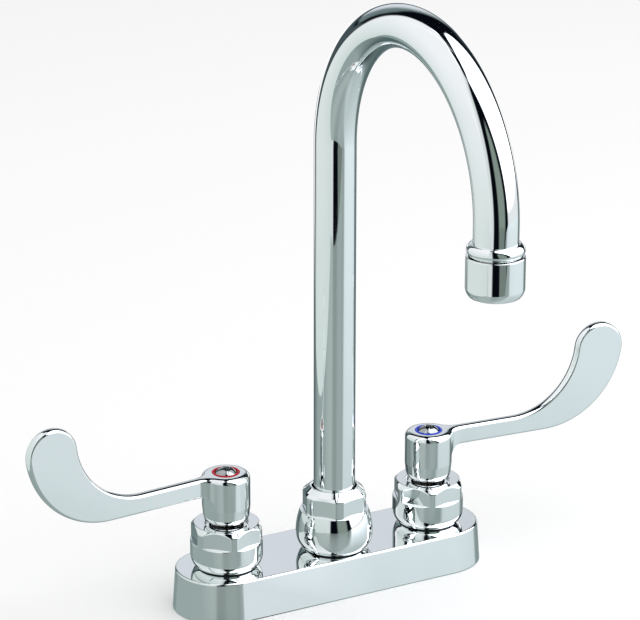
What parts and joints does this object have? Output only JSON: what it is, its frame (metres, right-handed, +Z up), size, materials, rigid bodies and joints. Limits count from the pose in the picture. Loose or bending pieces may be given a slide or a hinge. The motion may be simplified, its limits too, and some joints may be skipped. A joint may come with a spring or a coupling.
{
  "type": "gooseneck faucet",
  "caption": "Deck-mounted gooseneck faucet with wrist-blade levers, hexagonal bonnet nuts, a swivelling spout and a rounded deck plate over threaded shanks.",
  "frame": {"origin": "middle of the deck plate's underside, in the plane of the deck", "axes": "+X along the deck plate towards the cold valve, -Y towards the user and the outlet, +Z up"},
  "size_m": [0.2946, 0.1669, 0.322],
  "materials": {
    "chrome_plate": "polished bright chrome plating",
    "waterway_brass": "machined brass, unplated",
    "foot_brass": "turned brass, unplated",
    "gasket_rubber": "matte black rubber sheet",
    "seal_rubber": "satin black moulded rubber",
    "bushing_plastic": "matte white acetal",
    "housing_plastic": "matte black glass-filled plastic",
    "insert_plastic": "matte light grey plastic",
    "pin_steel": "drawn stainless steel",
    "washer_steel": "stamped steel",
    "screen_steel": "fine stainless mesh",
    "screw_steel": "bright stainless steel",
    "disc_ceramic": "lapped white ceramic, opaque",
    "ring_red": "glossy red plastic",
    "ring_blue": "glossy blue plastic"
  },
  "bodies": {
    "base": {"deck_plate": "chrome_plate", "deck_gasket": "gasket_rubber", "waterway_body": "waterway_brass", "spout_nut": "chrome_plate", "swivel_bushing": "bushing_plastic", "swing_stop_pin": "pin_steel", "mounting_washer_hot": "washer_steel", "mounting_nut_hot": "waterway_brass", "seat_seal_hot": "seal_rubber", "fixed_disc_hot": "disc_ceramic", "cartridge_housing_hot": "housing_plastic", "bonnet_nut_hot": "chrome_plate", "bonnet_seal_hot": "seal_rubber", "mounting_washer_cold": "washer_steel", "mounting_nut_cold": "waterway_brass", "seat_seal_cold": "seal_rubber", "fixed_disc_cold": "disc_ceramic", "cartridge_housing_cold": "housing_plastic", "bonnet_nut_cold": "chrome_plate", "bonnet_seal_cold": "seal_rubber"},
    "handle_hot": {"lever_hot": "chrome_plate", "index_ring_hot": "ring_red", "handle_screw_hot": "screw_steel", "stem_hot": "foot_brass", "stem_seal_hot": "seal_rubber", "turning_disc_hot": "disc_ceramic", "retaining_clip_hot": "pin_steel"},
    "handle_cold": {"lever_cold": "chrome_plate", "index_ring_cold": "ring_blue", "handle_screw_cold": "screw_steel", "stem_cold": "foot_brass", "stem_seal_cold": "seal_rubber", "turning_disc_cold": "disc_ceramic", "retaining_clip_cold": "pin_steel"},
    "spout": {"gooseneck_tube": "chrome_plate", "spout_foot": "foot_brass", "spout_seal_lower": "seal_rubber", "spout_seal_upper": "seal_rubber", "outlet_fitting": "chrome_plate", "aerator_shell": "chrome_plate", "aerator_washer": "seal_rubber", "aerator_insert": "insert_plastic", "aerator_screen": "screen_steel"}
  },
  "joints": [
    {"name": "hot_turn", "type": "hinge", "parent": "base", "child": "handle_hot", "pos_m": [-0.0508, 0, 0], "axis": [0, 0, 1], "range_deg": [0, 90]},
    {"name": "cold_turn", "type": "hinge", "parent": "base", "child": "handle_cold", "pos_m": [0.0508, 0, 0], "axis": [0, 0, 1], "range_deg": [-90, 0]},
    {"name": "spout_swing", "type": "hinge", "parent": "base", "child": "spout", "pos_m": [0, -0.00493, 0], "axis": [0, 0, 1], "range_deg": [-60, 60]}
  ]
}
